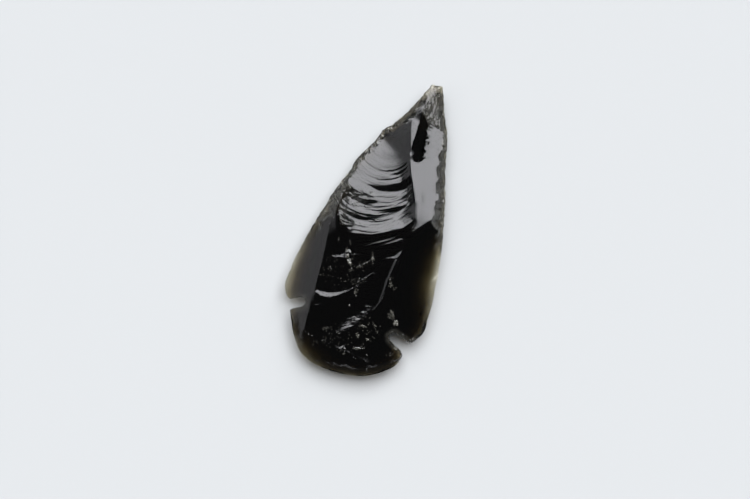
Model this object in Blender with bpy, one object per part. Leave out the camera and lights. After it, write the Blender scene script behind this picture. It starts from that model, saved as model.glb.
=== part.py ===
"""Knapped obsidian arrowhead: one solid, lying on its back face.

Frame: +Y runs from the base to the tip, +Z points up from the surface it lies on,
+X to the right seen from above. The origin is under the middle of its bounding box.

The point is drawn on a sheet: x to the right, y down, SHEET units to the millimetre,
with the long axis leaning AXIS_TILT degrees to the right. Heights are in millimetres
above the surface it lies on. Both faces are a net of flake scars that meet in ridges,
and each ends at the rim in a steeper edge retouch.
"""
import math

import bmesh
import bpy
import numpy as np
from mathutils import Vector
from mathutils.geometry import delaunay_2d_cdt

# ------------------------------------------------------------------ driving dimensions
SHEET = 3.95             # sheet units per millimetre: the point is 77 mm long, 41 mm wide
AXIS_TILT = 16.6         # degrees, lean of the long axis on the sheet
SHEET_ORIGIN = (372.0, 232.0)
RIM_STEP = 1.05          # mm between corners along the rim
RIM_INSET = 0.85         # mm, ring of corners where the edge retouch ends
RIDGE_STEP = 1.7         # mm between corners along a ridge
GRID = 1.9               # mm between corners inside a scar
CLEAR = 0.85             # mm kept free beside a ridge or the rim
LEAST_WEDGE = 0.15       # least slope of the front at the rim
LEAST_BACK = 0.06        # least slope of the back at the rim
BOWL_REACH = 2.2         # mm over which a scar sinks to its full depth
DEEP_REACH = 1.3         # the same for the deep scars
DEEP = 0.3               # mm, least depth of a deep scar

# ------------------------------------------------------------------ rim, counter to the clock from the tip
TIP_TO_SHOULDER = [(432.4, 84.3), (429, 88.5), (423.5, 94), (418.5, 100), (413, 106), (407, 112), (400.5, 118),
                   (393, 124), (386, 128), (382, 130.5)]
LEFT_EDGE = [(378, 136), (374, 142), (367.5, 148), (361, 154), (355.5, 160), (350.5, 169), (343.5, 178), (338, 185),
             (331, 195), (327, 202), (323.5, 208), (319, 214), (312, 226), (307, 235), (302, 244), (297.5, 253),
             (293, 262), (289.5, 271), (286, 279), (284.6, 286), (285.2, 292), (287.5, 297.2)]
LEFT_NOTCH = [(291, 299.2), (295.5, 298.4), (300.6, 298.0), (303.6, 299.2), (304.6, 301.5), (303.9, 304.3),
              (301.5, 306.0), (295.5, 307.6), (290.0, 309.6)]
BASE = [(290.2, 316), (291.3, 323), (292.6, 331), (294.9, 339.7), (298.2, 348.4), (303.6, 356), (312, 362.7),
        (322.9, 368), (335.9, 372.5), (351, 375.6), (362, 376.2), (372, 375.2), (381, 372.8), (389.5, 369.2),
        (395.8, 365.3), (400.4, 359.8), (402.3, 355.0)]
RIGHT_NOTCH = [(401.2, 351.2), (398.3, 348.0), (393.3, 343.4), (390.4, 339.9), (389.7, 336.8), (391.4, 334.2),
               (395.0, 333.3), (400.6, 337.2), (406.4, 341.2), (411.7, 343.2)]
RIGHT_EDGE = [(417, 339.3), (421.2, 335.8), (424, 332.3), (426.2, 326), (428.2, 318), (430.8, 310), (432.5, 304),
              (434, 296), (435.6, 286), (438, 277), (440.2, 262), (441.8, 250), (443.2, 238), (444.4, 220),
              (445.6, 200), (445.4, 180), (446.2, 160), (447.6, 142), (447.2, 130), (446, 124), (445, 112),
              (443.9, 100), (443.2, 91), (442.6, 86.6), (438.2, 85.6)]
RIM = TIP_TO_SHOULDER + LEFT_EDGE + LEFT_NOTCH + BASE + RIGHT_NOTCH + RIGHT_EDGE

# rim stations: place in RIM, height of the edge, slope of the front retouch, slope of the back retouch
EDGE = [
    (0, 4.10, 0.72, 0.55), (2, 4.32, 0.72, 0.45), (4, 4.46, 0.74, 0.45), (7, 4.36, 0.82, 0.50),
    (9, 3.95, 1.20, 1.00), (13, 3.90, 0.80, 0.80), (17, 3.90, 0.75, 0.75), (21, 3.85, 0.72, 0.60),
    (23, 3.80, 0.62, 0.45), (27, 3.75, 0.63, 0.42), (30, 3.75, 0.68, 0.60), (31.5, 3.80, 3.20, 2.60),
    (39.5, 3.80, 3.20, 2.60), (41, 3.85, 0.65, 1.80), (46, 3.85, 0.55, 1.80), (55, 3.85, 0.55, 1.80),
    (57, 3.90, 2.40, 2.40), (58, 4.00, 3.40, 3.00), (66, 4.00, 3.40, 3.00), (68, 3.95, 0.85, 1.20),
    (72, 3.90, 0.58, 0.45), (76, 3.70, 0.52, 0.32), (79, 3.90, 0.64, 0.40), (81, 3.85, 0.70, 0.60),
    (83, 3.85, 0.82, 0.65), (85, 3.65, 0.75, 0.65), (86, 3.45, 0.70, 0.65), (89, 3.65, 0.70, 0.65),
    (91, 3.95, 0.65, 0.50), (93, 4.10, 0.60, 0.45),
]

# ------------------------------------------------------------------ front: where ridges meet (sheet x, sheet y, height)
NODE = {
    # tip ridge
    "s": (436.6, 91, 4.75), "r": (429.5, 100, 5.40), "c1": (422, 112, 6.10),
    # flat facet below the tip
    "q": (405, 121, 5.52), "p": (390, 127.5, 4.60), "pe": (383, 131, 4.42), "cd0": (388, 132.5, 4.62),
    "cd1": (396.5, 144, 5.44),
    # sliver, and the broken facet right of it with its riser
    "g1": (411.5, 122.5, 6.00), "g2": (419.5, 121.5, 6.06), "g3": (411.2, 147, 6.70),
    "d0": (409.6, 154, 6.76), "f0": (410.4, 163, 7.06), "f1": (427.4, 125.5, 4.86), "f2": (426.0, 138, 5.02),
    "f3": (420.6, 160.2, 5.76), "h1": (428.8, 124.5, 5.30), "h2": (427.6, 138, 5.48), "h3": (422.4, 161, 6.30),
    "e1": (434, 128, 4.98),
    # main ridge, beside the big rippled scar
    "d1": (410.6, 170, 7.28), "d2": (413.2, 188, 7.70), "d3": (415.2, 204, 8.03), "d4": (414.0, 221, 8.36),
    "d5": (412.6, 232, 8.36),
    # left and lower borders of the big rippled scar
    "l2": (347, 184, 5.80), "l3": (344, 191, 6.00), "l4": (336, 213, 6.62),
    "b1": (342, 225, 6.98), "b2": (352, 232.5, 7.40), "b3": (370, 234.5, 7.84), "b4": (392, 231, 8.12),
    "b5": (404, 227.5, 8.08),
    # ridge between the left facet and the middle
    "i1": (331, 222, 6.72), "i2": (328, 235, 6.80), "i3": (322, 262, 6.42), "i4": (315, 290, 6.22),
    "i5": (308, 315, 5.95), "i6": (303.5, 331, 5.60),
    # main ridge, running down to the base
    "k1": (404.5, 247, 8.12), "k2": (397, 262, 8.06), "k3": (391, 275, 7.95), "k4": (387, 287, 7.80),
    "k5": (380, 300, 7.45), "k6": (372, 311, 7.02), "k7": (358, 323.5, 6.58), "k8": (344, 335.5, 6.15),
    "k9": (331, 344, 6.00),
    # base bevel
    "m1": (318, 338, 5.75), "m3": (341, 350.5, 6.00), "m4": (365, 362, 5.65), "m5": (385, 369.5, 5.05),
    # right facet
    "e2": (452, 128, 4.05), "e3": (452, 155, 4.55), "e4": (452, 180, 5.15), "e5": (451, 203, 5.60),
    "e6": (436, 217, 6.88), "e7": (450, 206, 5.65),
    # past the rim, where the scars would run on
    "o0": (440, 76, 4.08), "oa": (428, 82, 4.20), "ob": (402, 109, 4.72), "oc": (377, 127, 4.10),
    "od": (366, 143, 4.30), "oe": (348, 160, 4.45), "of": (330, 184, 4.60), "og": (309, 219, 3.95),
    "oh": (290, 253, 3.42), "oi": (278, 280, 3.34), "oj": (281, 310, 3.65), "ok": (286, 338, 4.05),
    "ol": (296, 362, 4.60), "om": (318, 375, 4.75), "on": (350, 383, 4.80), "oo": (385, 380, 4.80),
    "op": (404, 369, 4.60), "oq": (412, 352, 4.60), "or": (432, 338, 3.90), "os": (438, 318, 3.60),
    "ot": (442, 292, 3.14), "ou": (449, 262, 2.66), "ov": (452, 235, 3.36), "ow": (450, 100, 3.55),
}

# front scars: the loop of ridge nodes round each, and how deep its bowl is (mm)
SCAR = [
    ("o0 oa ob oc pe p q c1 r s", 0.0),                                                     # tip, left bevel
    ("o0 s r c1 h1 e1 e2 ow", 0.0),                                                         # tip, right bevel
    ("p q c1 g2 g1 g3 d0 cd1 cd0", 0.0),                                                    # flat facet below the tip
    ("pe p cd0 cd1 d0 f0 d1 d2 d3 d4 b5 b4 b3 b2 b1 l4 l3 l2 of oe od oc", 0.34),           # big rippled scar
    ("g1 g2 g3", 0.0),                                                                      # sliver
    ("g2 c1 f1 f2 f3 f0 d0 g3", 0.0),                                                       # broken facet
    ("c1 h1 h2 h3 f0 f3 f2 f1", 0.0),                                                       # riser of the broken facet
    ("h1 e1 e2 e3 e4 e5 e7 e6 d5 d4 d3 d2 d1 f0 h3 h2", 0.05),                              # long right facet
    ("l2 of og oh oi oj ok i6 i5 i4 i3 i2 i1 l4 l3", 0.03),                                 # left facet
    ("l4 b1 b2 b3 b4 b5 d4 d5 k1 k2 k3 k4 k5 k6 k7 k8 k9 m1 i6 i5 i4 i3 i2 i1", 0.15),      # middle
    ("d5 e6 e7 ov ou ot os or oq op oo m5 m4 m3 k9 k8 k7 k6 k5 k4 k3 k2 k1", 0.16),         # lower right
    ("i6 m1 k9 m3 m4 m5 oo on om ol ok", 0.05),                                             # base bevel
]

# back scars: a line on the sheet where each leaves the flat resting facet, its slope and its hollow (mm);
# the scar lies to the left of the line as it is written, and rises away from it
BACK = [
    ((404, 160), (374, 203), 0.30, 0.20), ((376, 198), (353, 248), 0.30, 0.22), ((355, 244), (339, 288), 0.30, 0.20),
    ((341, 282), (333, 320), 0.30, 0.16), ((330, 314), (353, 341), 0.36, 0.16), ((345, 337), (380, 338), 0.38, 0.16),
    ((373, 341), (397, 317), 0.46, 0.16), ((394, 324), (405, 284), 0.42, 0.16), ((403, 291), (409, 244), 0.42, 0.22),
    ((408, 251), (413, 204), 0.42, 0.18), ((411, 211), (419, 158), 0.42, 0.16), ((423, 162), (402, 165), 0.18, 0.12),
]

# hollow back scars that leave the edge thin: centre, half sizes where they are 1 mm deeper, turn, height in the middle
THIN = [(434, 272, 24, 36, 8, 3.90), (297, 262, 12, 31, 24, 3.55)]


def curve(pts, closed, step):
    """Corners about a step apart along a rounded line through pts, and the place of each in pts."""
    n = len(pts)
    p = np.array(pts, float)
    out, place = [], []
    for i in range(n if closed else n - 1):
        p0 = p[(i - 1) % n] if closed or i > 0 else p[i]
        p1, p2 = p[i], p[(i + 1) % n]
        p3 = p[(i + 2) % n] if closed or i + 2 < n else p2
        length = np.linalg.norm(p2 - p1)
        k = max(1, int(round(length / step)))
        t1 = (p2 - p0) * 0.42 * min(1.0, 2 * length / (np.linalg.norm(p2 - p0) + 1e-9))
        t2 = (p3 - p1) * 0.42 * min(1.0, 2 * length / (np.linalg.norm(p3 - p1) + 1e-9))
        for j in range(k):
            t = j / k
            out.append((2 * t ** 3 - 3 * t ** 2 + 1) * p1 + (t ** 3 - 2 * t ** 2 + t) * t1
                       + (3 * t ** 2 - 2 * t ** 3) * p2 + (t ** 3 - t ** 2) * t2)
            place.append(i + t)
    return np.array(out), np.array(place)


def inside(poly, pts):
    x, y = pts[:, 0], pts[:, 1]
    c = np.zeros(len(pts), bool)
    for (x0, y0), (x1, y1) in zip(poly, np.roll(poly, -1, axis=0)):
        if y0 != y1:
            c ^= ((y0 > y) != (y1 > y)) & (x < (x1 - x0) * (y - y0) / (y1 - y0) + x0)
    return c


def to_segments(a, b, pts):
    """Distance from each point to the nearest of the segments a-b, which one, and how far along it."""
    d = b - a
    t = ((pts[:, None] - a[None]) * d[None]).sum(2) / ((d ** 2).sum(1) + 1e-12)
    t = np.clip(t, 0, 1)
    gap = np.sqrt(((pts[:, None] - a[None] - t[:, :, None] * d[None]) ** 2).sum(2))
    j = gap.argmin(1)
    r = np.arange(len(pts))
    return gap[r, j], j, t[r, j]


def mean_value(poly, height, pts):
    """A smooth surface over pts that meets the given heights along the sides of poly."""
    d = poly[None] - pts[:, None]
    r = np.sqrt((d ** 2).sum(2)) + 1e-9
    dn, rn = np.roll(d, -1, axis=1), np.roll(r, -1, axis=1)
    t = (d[:, :, 0] * dn[:, :, 1] - d[:, :, 1] * dn[:, :, 0]) / (r * rn + (d * dn).sum(2) + 1e-7 * r * rn)
    w = (t + np.roll(t, 1, axis=1)) / r
    return (w * height).sum(1) / w.sum(1)


def rim_at(pts):
    """Distance to the rim in mm, and the edge height and retouch slopes at the nearest place on it."""
    a, b = RIM_PTS, np.roll(RIM_PTS, -1, axis=0)
    nxt = np.append(RIM_PLACE[1:], len(RIM))
    gap, j, t = to_segments(a, b, pts)
    place = RIM_PLACE[j] + t * (nxt[j] - RIM_PLACE[j])
    e = np.array(EDGE)
    return [gap / SHEET] + [np.interp(place, e[:, 0], e[:, k]) for k in (1, 2, 3)]


def retouch(d, slope):
    """The edge retouch: straight near the rim, steeper farther in."""
    return slope * d + 0.35 * np.clip(d - 1.6, 0, None) ** 2


def front_height(pts):
    pts = pts + np.array([1.3e-4, 0.7e-4])
    z = np.full(len(pts), np.nan)
    for loop, bowl in SCAR:
        poly = np.array([NODE[n][:2] for n in loop.split()], float)
        top = np.array([NODE[n][2] for n in loop.split()], float)
        m = inside(poly, pts) & np.isnan(z)
        if m.any():
            d = to_segments(poly, np.roll(poly, -1, axis=0), pts[m])[0] / SHEET
            z[m] = mean_value(poly, top, pts[m]) - bowl * (1 - np.exp(-d / (BOWL_REACH if bowl < DEEP else DEEP_REACH)))
    d, edge, slope, _ = rim_at(pts)
    return np.maximum(np.minimum(z, edge + retouch(d, slope)), edge + LEAST_WEDGE * d)


def back_height(pts):
    z = np.zeros(len(pts))
    for p, q, rise, hollow in BACK:
        p, q = np.array(p, float), np.array(q, float)
        along = (q - p) / np.linalg.norm(q - p)
        out = np.array([along[1], -along[0]])
        if out @ (p - MIDDLE) < 0:
            out = -out
        w = ((pts - (p + q) / 2) @ along) / (0.5 * np.linalg.norm(q - p))
        z = np.maximum(z, rise * ((pts - p) @ out) / SHEET + hollow * (1 - w ** 2) * 0.6)
    for cx, cy, ru, rv, deg, top in THIN:
        c, s = math.cos(math.radians(deg)), math.sin(math.radians(deg))
        dx, dy = pts[:, 0] - cx, pts[:, 1] - cy
        z = np.maximum(z, top - ((dx * c + dy * s) / ru) ** 2 - ((dy * c - dx * s) / rv) ** 2)
    d, edge, _, slope = rim_at(pts)
    return np.minimum(np.maximum(z, edge - retouch(d, slope)), edge - LEAST_BACK * d)


def to_part(pts):
    """Sheet to part axes, in millimetres."""
    u = (pts[:, 0] - SHEET_ORIGIN[0]) / SHEET
    v = (SHEET_ORIGIN[1] - pts[:, 1]) / SHEET
    c, s = math.cos(math.radians(AXIS_TILT)), math.sin(math.radians(AXIS_TILT))
    return np.stack([u * c - v * s, u * s + v * c], 1)


def hex_grid(lo, hi, step):
    rows = int((hi[1] - lo[1]) / (step * 0.866)) + 1
    cols = int((hi[0] - lo[0]) / step) + 2
    return np.array([(lo[0] + (i + 0.5 * (j % 2)) * step, lo[1] + j * step * 0.866)
                     for j in range(rows) for i in range(cols)])


def spread(chosen, extra, gap):
    """Those of extra that keep the gap to the chosen corners and to each other."""
    keep = [tuple(p) for p in chosen]
    n = len(keep)
    arr = np.array(keep)
    for p in extra:
        if np.sqrt(((arr - p) ** 2).sum(1)).min() >= gap:
            arr = np.vstack([arr, p])
    return arr[n:]


def face_net(lines):
    """Triangles over the outline, with a corner on the rim, on the inset ring, on each ridge and on a grid."""
    rim = RIM_PTS
    n = len(rim)
    ring = [(i, (i + 1) % n) for i in range(n)]
    pts = rim.copy()
    sides = list(ring)
    for a, b in lines:
        k = max(1, int(round(np.linalg.norm(b - a) / SHEET / RIDGE_STEP)))
        on = np.array([a + (b - a) * j / k for j in range(k + 1)])
        gap = to_segments(rim, np.roll(rim, -1, axis=0), on)[0] / SHEET
        ok = inside(rim, on) & (gap > 0.8 * CLEAR)
        sides += [(len(pts) + j, len(pts) + j + 1) for j in range(k) if ok[j] and ok[j + 1]]
        pts = np.vstack([pts, np.where(ok[:, None], on, rim[0])])
    tangent = np.roll(rim, -1, axis=0) - np.roll(rim, 1, axis=0)
    tangent /= np.linalg.norm(tangent, axis=1)[:, None]
    inset = rim + np.stack([tangent[:, 1], -tangent[:, 0]], 1) * RIM_INSET * SHEET
    ok = inside(rim, inset)
    gap = to_segments(rim, np.roll(rim, -1, axis=0), inset)[0] / SHEET
    pts = np.vstack([pts, spread(pts, inset[ok & (gap > 0.9 * RIM_INSET)], 0.62 * SHEET)])
    grid = hex_grid(rim.min(0), rim.max(0), GRID * SHEET)
    ok = inside(rim, grid)
    gap = to_segments(rim, np.roll(rim, -1, axis=0), grid)[0] / SHEET
    pts = np.vstack([pts, spread(pts, grid[ok & (gap > RIM_INSET + 0.5 * CLEAR)], CLEAR * SHEET)])
    co, _, tris, _, _, _ = delaunay_2d_cdt([Vector(p) for p in pts], sides, [], 0, 1e-6)
    co = np.array([tuple(c) for c in co])
    tris = np.array([t for t in tris])
    assert np.allclose(co[:n], rim, atol=1e-3)
    return co, tris[inside(rim, co[tris].mean(1))]


# ------------------------------------------------------------------ scene
for old in list(bpy.data.objects):
    bpy.data.objects.remove(old, do_unlink=True)

RIM_PTS, RIM_PLACE = curve(RIM, True, RIM_STEP * SHEET)
MIDDLE = np.array([376.0, 262.0])

ridges, seen = [], set()
for loop, _ in SCAR:
    names = loop.split()
    for a, b in zip(names, names[1:] + names[:1]):
        if frozenset((a, b)) not in seen and not (a[0] == "o" and b[0] == "o"):
            seen.add(frozenset((a, b)))
            ridges.append((np.array(NODE[a][:2], float), np.array(NODE[b][:2], float)))

flat_xy = to_part(RIM_PTS)
shift = (flat_xy.min(0) + flat_xy.max(0)) / 2

bm = bmesh.new()
rim_corner = None
for lines, height, up in ((ridges, front_height, True), ([], back_height, False)):
    co, tris = face_net(lines)
    z = height(co)
    xy = to_part(co) - shift
    n = len(RIM_PTS)
    edge = rim_at(RIM_PTS)[1]
    z[:n] = edge
    corner = []
    for i in range(len(co)):
        if i < n and rim_corner is not None:
            corner.append(rim_corner[i])
        else:
            corner.append(bm.verts.new((xy[i, 0] / 1000, xy[i, 1] / 1000, z[i] / 1000)))
    if rim_corner is None:
        rim_corner = corner[:n]
    for t in tris:
        a, b, c = (xy[k] for k in t)
        turn = (b[0] - a[0]) * (c[1] - a[1]) - (b[1] - a[1]) * (c[0] - a[0])
        order = t if (turn > 0) == up else t[::-1]
        bm.faces.new([corner[k] for k in order])
loose = [v for v in bm.verts if not v.link_faces]
bmesh.ops.delete(bm, geom=loose, context="VERTS")
bmesh.ops.recalc_face_normals(bm, faces=bm.faces)

mesh = bpy.data.meshes.new("arrowhead")
bm.to_mesh(mesh)
bm.free()
mesh.shade_smooth()
mesh.set_sharp_from_angle(angle=math.radians(8))
arrowhead = bpy.data.objects.new("arrowhead", mesh)
bpy.context.scene.collection.objects.link(arrowhead)

glass = bpy.data.materials.new("obsidian")
glass.use_nodes = True
shader = glass.node_tree.nodes["Principled BSDF"]
shader.inputs["Base Color"].default_value = (0.010, 0.010, 0.012, 1.0)
shader.inputs["Roughness"].default_value = 0.06
shader.inputs["Metallic"].default_value = 0.0
shader.inputs["IOR"].default_value = 1.5
mesh.materials.append(glass)
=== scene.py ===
import math

import bpy
import numpy as np
from mathutils import Matrix, Vector, kdtree
from mathutils.geometry import delaunay_2d_cdt


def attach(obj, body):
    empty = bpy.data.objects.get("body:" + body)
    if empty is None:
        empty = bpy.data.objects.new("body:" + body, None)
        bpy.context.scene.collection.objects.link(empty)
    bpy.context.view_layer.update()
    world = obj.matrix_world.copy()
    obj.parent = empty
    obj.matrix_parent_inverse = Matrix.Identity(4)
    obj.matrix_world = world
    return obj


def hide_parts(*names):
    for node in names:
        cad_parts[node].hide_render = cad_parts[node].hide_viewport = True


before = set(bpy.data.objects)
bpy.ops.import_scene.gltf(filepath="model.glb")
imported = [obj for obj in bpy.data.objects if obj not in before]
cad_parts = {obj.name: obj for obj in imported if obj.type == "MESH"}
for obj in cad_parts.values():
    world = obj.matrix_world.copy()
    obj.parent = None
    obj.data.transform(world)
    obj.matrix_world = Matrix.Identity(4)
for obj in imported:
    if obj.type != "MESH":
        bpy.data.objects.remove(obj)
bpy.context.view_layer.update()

# The point is drawn on a sheet: x to the right, y down, SHEET units to the millimetre, with its long
# axis leaning AXIS_TILT degrees to the right. Heights are in mm above the surface it lies on.
SHEET = 3.95
AXIS_TILT = 16.6
SHEET_ORIGIN = (372.0, 232.0)
LEAST_WEDGE = 0.15
LEAST_BACK = 0.06
BOWL_REACH = 2.2
CAD_RIM_STEP = 1.05       # mm, the step of the CAD solid's rim corners, which centre the frame

# ------------------------------------------------------------------ rim, counter to the clock from the tip
TIP_TO_SHOULDER = [(432.4, 84.3), (429, 88.5), (423.5, 94), (418.5, 100), (413, 106), (407, 112), (400.5, 118),
                   (393, 124), (386, 128), (382, 130.5)]
LEFT_EDGE = [(378, 136), (374, 142), (367.5, 148), (361, 154), (355.5, 160), (350.5, 169), (343.5, 178), (338, 185),
             (331, 195), (327, 202), (323.5, 208), (319, 214), (312, 226), (307, 235), (302, 244), (297.5, 253),
             (293, 262), (289.5, 271), (286, 279), (284.6, 286), (285.2, 292), (287.5, 297.2)]
LEFT_NOTCH = [(291, 299.2), (295.5, 298.4), (300.6, 298.0), (303.6, 299.2), (304.6, 301.5), (303.9, 304.3),
              (301.5, 306.0), (295.5, 307.6), (290.0, 309.6)]
BASE = [(290.2, 316), (291.3, 323), (292.6, 331), (294.9, 339.7), (298.2, 348.4), (303.6, 356), (312, 362.7),
        (322.9, 368), (335.9, 372.5), (351, 375.6), (362, 376.2), (372, 375.2), (381, 372.8), (389.5, 369.2),
        (395.8, 365.3), (400.4, 359.8), (402.3, 355.0)]
RIGHT_NOTCH = [(401.2, 351.2), (398.3, 348.0), (393.3, 343.4), (390.4, 339.9), (389.7, 336.8), (391.4, 334.2),
               (395.0, 333.3), (400.6, 337.2), (406.4, 341.2), (411.7, 343.2)]
RIGHT_EDGE = [(417, 339.3), (421.2, 335.8), (424, 332.3), (426.2, 326), (428.2, 318), (430.8, 310), (432.5, 304),
              (434, 296), (435.6, 286), (438, 277), (440.2, 262), (441.8, 250), (443.2, 238), (444.4, 220),
              (445.6, 200), (445.4, 180), (446.2, 160), (447.6, 142), (447.2, 130), (446, 124), (445, 112),
              (443.9, 100), (443.2, 91), (442.6, 86.6), (438.2, 85.6)]
RIM = TIP_TO_SHOULDER + LEFT_EDGE + LEFT_NOTCH + BASE + RIGHT_NOTCH + RIGHT_EDGE

# rim stations: place in RIM, height of the edge, slope of the front retouch, slope of the back retouch,
# how crushed the edge is
EDGE = [
    (0, 4.10, 0.72, 0.55, 0.8), (2, 4.32, 0.72, 0.45, 0.7), (4, 4.46, 0.74, 0.45, 0.6), (7, 4.36, 0.82, 0.50, 0.6),
    (9, 3.95, 1.20, 1.00, 1.0), (13, 3.90, 0.80, 0.80, 1.0), (17, 3.90, 0.75, 0.75, 1.0), (21, 3.85, 0.72, 0.60, 0.8),
    (23, 3.80, 0.62, 0.45, 0.4), (27, 3.75, 0.63, 0.42, 0.3), (30, 3.75, 0.68, 0.60, 0.4),
    (31.5, 3.80, 6.00, 5.00, 0.6), (39.5, 3.80, 6.00, 5.00, 0.6), (41, 3.85, 0.65, 1.80, 0.2),
    (46, 3.85, 0.55, 1.80, 0.1), (55, 3.85, 0.55, 1.80, 0.1), (57, 3.90, 2.40, 2.40, 0.4), (58, 4.00, 7.00, 6.00, 0.6),
    (66, 4.00, 7.00, 6.00, 0.6), (68, 3.95, 0.85, 1.20, 0.3), (72, 3.90, 0.58, 0.45, 0.25), (76, 3.70, 0.52, 0.32, 0.3),
    (79, 3.90, 0.64, 0.40, 0.6), (81, 3.85, 0.70, 0.60, 1.0), (83, 3.85, 0.82, 0.65, 1.0), (85, 3.65, 0.75, 0.65, 1.0),
    (86, 3.45, 0.70, 0.65, 1.0), (89, 3.65, 0.70, 0.65, 1.0), (91, 3.95, 0.65, 0.50, 1.0), (93, 4.10, 0.60, 0.45, 0.8),
]

# ------------------------------------------------------------------ front: where ridges meet (sheet x, sheet y, height)
NODE = {
    "s": (436.6, 91, 4.75), "r": (429.5, 100, 5.40), "c1": (422, 112, 6.10),
    "q": (405, 121, 5.52), "p": (390, 127.5, 4.60), "pe": (383, 131, 4.42), "cd0": (388, 132.5, 4.62),
    "cd1": (396.5, 144, 5.44),
    "g1": (411.5, 122.5, 6.00), "g2": (419.5, 121.5, 6.06), "g3": (411.2, 147, 6.70),
    "d0": (409.6, 154, 6.76), "f0": (410.4, 163, 7.06), "f1": (427.4, 125.5, 4.86), "f2": (426.0, 138, 5.02),
    "f3": (420.6, 160.2, 5.76), "h1": (428.8, 124.5, 5.30), "h2": (427.6, 138, 5.48), "h3": (422.4, 161, 6.30),
    "e1": (434, 128, 4.98),
    "d1": (410.6, 170, 7.28), "d2": (413.2, 188, 7.70), "d3": (415.2, 204, 8.03), "d4": (414.0, 221, 8.36),
    "d5": (412.6, 232, 8.36),
    "l2": (347, 184, 5.80), "l3": (344, 191, 6.00), "l4": (336, 213, 6.62),
    "b1": (342, 225, 6.98), "b2": (352, 232.5, 7.40), "b3": (370, 234.5, 7.84), "b4": (392, 231, 8.12),
    "b5": (404, 227.5, 8.08),
    "i1": (331, 222, 6.72), "i2": (328, 235, 6.80), "i3": (322, 262, 6.42), "i4": (315, 290, 6.22),
    "i5": (308, 315, 5.95), "i6": (303.5, 331, 5.60),
    "k1": (404.5, 247, 8.12), "k2": (397, 262, 8.06), "k3": (391, 275, 7.95), "k4": (387, 287, 7.80),
    "k5": (380, 300, 7.45), "k6": (372, 311, 7.02), "k7": (358, 323.5, 6.58), "k8": (344, 335.5, 6.15),
    "k9": (331, 344, 6.00),
    "m1": (318, 338, 5.75), "m3": (341, 350.5, 6.00), "m4": (365, 362, 5.65), "m5": (385, 369.5, 5.05),
    "e2": (452, 128, 4.05), "e3": (452, 155, 4.55), "e4": (452, 180, 5.15), "e5": (451, 203, 5.60),
    "e6": (436, 217, 6.88), "e7": (450, 206, 5.65),
    "o0": (440, 76, 4.08), "oa": (428, 82, 4.20), "ob": (402, 109, 4.72), "oc": (377, 127, 4.10),
    "od": (366, 143, 4.30), "oe": (348, 160, 4.45), "of": (330, 184, 4.60), "og": (309, 219, 3.95),
    "oh": (290, 253, 3.42), "oi": (278, 280, 3.34), "oj": (281, 310, 3.65), "ok": (286, 338, 4.05),
    "ol": (296, 362, 4.60), "om": (318, 375, 4.75), "on": (350, 383, 4.80), "oo": (385, 380, 4.80),
    "op": (404, 369, 4.60), "oq": (412, 352, 4.60), "or": (432, 338, 3.90), "os": (438, 318, 3.60),
    "ot": (442, 292, 3.14), "ou": (449, 262, 2.66), "ov": (452, 235, 3.36), "ow": (450, 100, 3.55),
}

# front scars: name, loop of ridge nodes, depth of the bowl (mm)
SCAR = [
    ("tip_left", "o0 oa ob oc pe p q c1 r s", 0.0),
    ("tip_right", "o0 s r c1 h1 e1 e2 ow", 0.0),
    ("shoulder", "p q c1 g2 g1 g3 d0 cd1 cd0", 0.0),
    ("ripples", "pe p cd0 cd1 d0 f0 d1 d2 d3 d4 b5 b4 b3 b2 b1 l4 l3 l2 of oe od oc", 0.34),
    ("sliver", "g1 g2 g3", 0.0),
    ("broken", "g2 c1 f1 f2 f3 f0 d0 g3", 0.0),
    ("torn", "c1 h1 h2 h3 f0 f3 f2 f1", 0.0),
    ("right", "h1 e1 e2 e3 e4 e5 e7 e6 d5 d4 d3 d2 d1 f0 h3 h2", 0.05),
    ("left", "l2 of og oh oi oj ok i6 i5 i4 i3 i2 i1 l4 l3", 0.03),
    ("middle", "l4 b1 b2 b3 b4 b5 d4 d5 k1 k2 k3 k4 k5 k6 k7 k8 k9 m1 i6 i5 i4 i3 i2 i1", 0.15),
    ("lower", "d5 e6 e7 ov ou ot os or oq op oo m5 m4 m3 k9 k8 k7 k6 k5 k4 k3 k2 k1", 0.16),
    ("base", "i6 m1 k9 m3 m4 m5 oo on om ol ok", 0.05),
]
SCAR_NAME = [s[0] for s in SCAR]

# back scars: a line on the sheet where each leaves the flat resting facet, its slope and its hollow (mm)
BACK = [
    ((404, 160), (374, 203), 0.30, 0.20), ((376, 198), (353, 248), 0.30, 0.22), ((355, 244), (339, 288), 0.30, 0.20),
    ((341, 282), (333, 320), 0.30, 0.16), ((330, 314), (353, 341), 0.36, 0.16), ((345, 337), (380, 338), 0.38, 0.16),
    ((373, 341), (397, 317), 0.46, 0.16), ((394, 324), (405, 284), 0.42, 0.16), ((403, 291), (409, 244), 0.42, 0.22),
    ((408, 251), (413, 204), 0.42, 0.18), ((411, 211), (419, 158), 0.42, 0.16), ((423, 162), (402, 165), 0.18, 0.12),
]
MIDDLE = np.array([376.0, 262.0])
# hollow back scars that leave the edge thin: centre, half sizes where they are 1 mm deeper, turn, height in the middle
THIN = [(434, 272, 24, 36, 8, 3.90), (297, 262, 12, 31, 24, 3.55)]

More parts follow.
